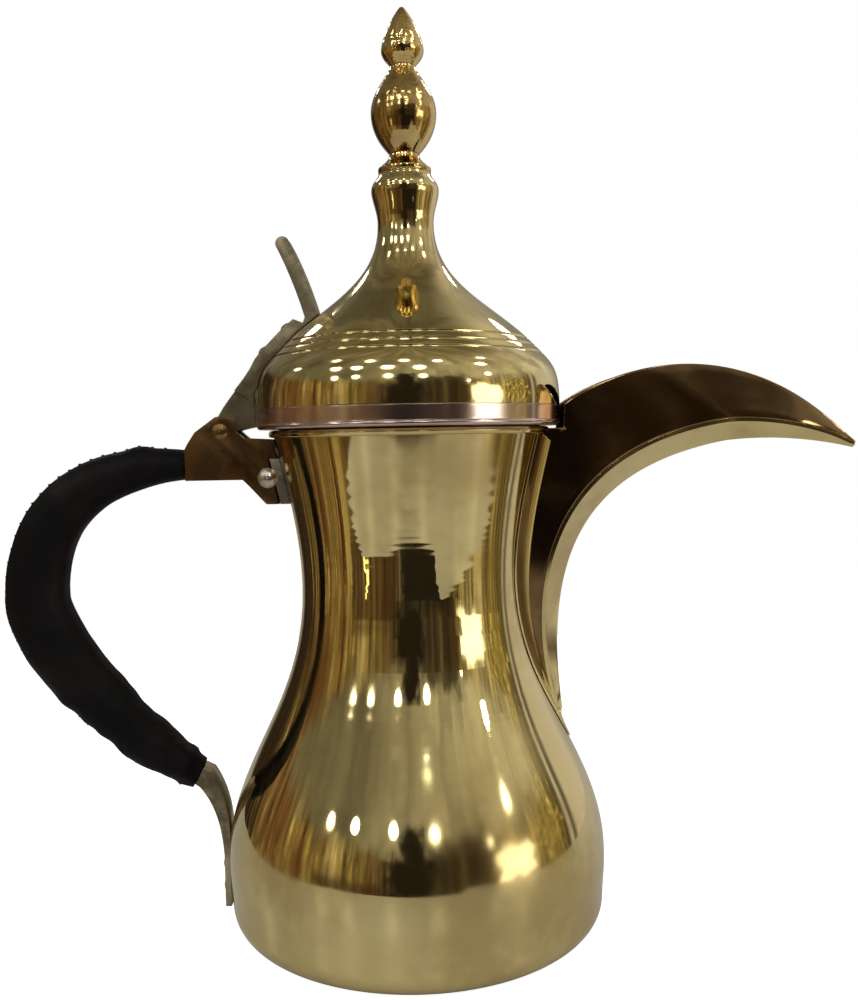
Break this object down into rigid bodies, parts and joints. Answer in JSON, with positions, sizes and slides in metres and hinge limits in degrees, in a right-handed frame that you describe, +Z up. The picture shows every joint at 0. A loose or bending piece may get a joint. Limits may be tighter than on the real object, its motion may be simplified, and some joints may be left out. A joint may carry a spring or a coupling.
{
  "type": "dallah coffee pot",
  "caption": "Brass coffee pot with a narrow waist, crescent beak spout, hinged domed lid with turned finial and thumb lever, and a strap handle in a stitched leather grip.",
  "frame": {"origin": "centre of the base's underside, on the axis of the body", "axes": "+Z up along the axis of the body, +X towards the spout, the handle on -X"},
  "size_m": [0.2849, 0.1254, 0.3006],
  "materials": {
    "polished_brass": "hand polished, mirror bright, lightly scratched",
    "cast_brass": "cast, rubbed smooth, darkened in the corners",
    "dull_brass": "unpolished, satin",
    "copper": "polished copper, pinkish",
    "solder": "tinned and soldered, dull silver",
    "leather": "black, smooth, worn",
    "thread": "waxed black thread"
  },
  "bodies": {
    "pot": {"body_shell": "polished_brass", "base_plate": "dull_brass", "mouth_bead": "polished_brass", "spout_cheek_front": "polished_brass", "spout_cheek_back": "polished_brass", "spout_keel": "polished_brass", "spout_fillet": "polished_brass", "bracket_pad": "solder", "handle_bracket": "cast_brass", "cross_rivet": "cast_brass", "hinge_pin": "cast_brass", "handle_bar": "cast_brass", "tail_rivets": "cast_brass", "grip": "leather", "grip_stitching": "thread"},
    "lid": {"lid_strap": "cast_brass", "strap_rivets": "cast_brass", "lid_dome": "polished_brass", "lid_band": "copper", "lid_sleeve": "dull_brass", "finial_collar": "polished_brass", "finial_bulb": "polished_brass", "finial_tip": "polished_brass", "finial_rod": "dull_brass", "finial_washer": "dull_brass", "finial_nut": "dull_brass"}
  },
  "joints": [
    {"name": "lid_hinge", "type": "hinge", "parent": "pot", "child": "lid", "pos_m": [-0.0616, 0, 0.164], "axis": [0, -1, 0], "range_deg": [0, 100]}
  ]
}
